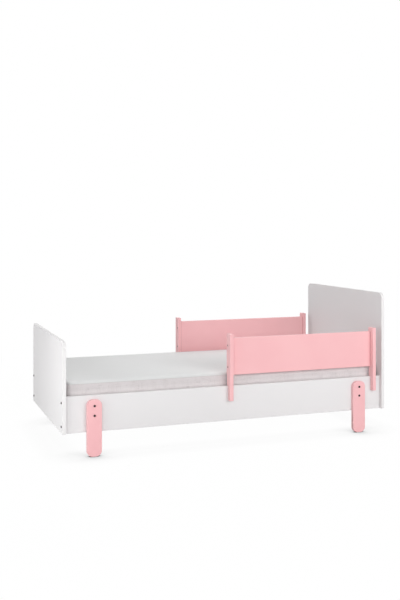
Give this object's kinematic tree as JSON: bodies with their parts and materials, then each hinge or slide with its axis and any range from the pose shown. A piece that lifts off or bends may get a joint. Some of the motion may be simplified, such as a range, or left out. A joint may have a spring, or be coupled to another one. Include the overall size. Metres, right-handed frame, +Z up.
{
  "type": "toddler bed",
  "caption": "Low white board bed for a small child, on pink plank legs with rounded ends, with lift-off pink guard rails at the head end, a slatted base and a grey mattress.",
  "frame": {"origin": "middle of the bed on the floor, at the bottom centre of its bounding box", "axes": "+X from the foot end to the head end, -Y towards the front side that the picture shows, +Z up"},
  "size_m": [1.6486, 0.793, 0.693],
  "materials": {
    "white_laminate": "satin",
    "pink_lacquer": "satin",
    "mattress_fabric": "matte",
    "foam": "matte",
    "pine": "matte",
    "beech": "matte",
    "webbing": "matte",
    "dark_steel": "satin",
    "zinc_steel": "satin"
  },
  "bodies": {
    "frame": {"footboard": "white_laminate", "headboard": "white_laminate", "front_side_panel": "white_laminate", "back_side_panel": "white_laminate", "front_leg_foot_end": "pink_lacquer", "front_leg_head_end": "pink_lacquer", "back_leg_foot_end": "pink_lacquer", "back_leg_head_end": "pink_lacquer", "leg_bolts": "dark_steel", "leg_inserts": "zinc_steel", "corner_bolts": "dark_steel", "corner_barrel_nuts": "zinc_steel", "corner_dowels": "beech", "front_slat_batten": "pine", "back_slat_batten": "pine", "batten_screws": "zinc_steel", "slat_01": "pine", "slat_02": "pine", "slat_03": "pine", "slat_04": "pine", "slat_05": "pine", "slat_06": "pine", "slat_07": "pine", "slat_08": "pine", "slat_09": "pine", "slat_10": "pine", "slat_11": "pine", "slat_12": "pine", "slat_13": "pine", "slat_14": "pine", "front_slat_strap": "webbing", "back_slat_strap": "webbing", "strap_staples": "zinc_steel", "end_slat_screws": "zinc_steel"},
    "mattress": {"mattress_cover": "mattress_fabric", "mattress_core": "foam"},
    "front_guard": {"front_guard_board": "pink_lacquer", "front_guard_foot_post": "pink_lacquer", "front_guard_head_post": "pink_lacquer", "front_guard_foot_plate": "zinc_steel", "front_guard_head_plate": "zinc_steel", "front_guard_screws": "dark_steel", "front_guard_plate_screws": "zinc_steel"},
    "back_guard": {"back_guard_board": "pink_lacquer", "back_guard_foot_post": "pink_lacquer", "back_guard_head_post": "pink_lacquer", "back_guard_foot_plate": "zinc_steel", "back_guard_head_plate": "zinc_steel", "back_guard_screws": "dark_steel", "back_guard_plate_screws": "zinc_steel"}
  },
  "joints": [
    {"name": "mattress_lift", "type": "slide", "parent": "frame", "child": "mattress", "axis": [0, 0, 1], "range_m": [0, 0.48]},
    {"name": "front_guard_lift", "type": "slide", "parent": "frame", "child": "front_guard", "axis": [0, 0, 1], "range_m": [0, 0.15]},
    {"name": "back_guard_lift", "type": "slide", "parent": "frame", "child": "back_guard", "axis": [0, 0, 1], "range_m": [0, 0.15]}
  ]
}
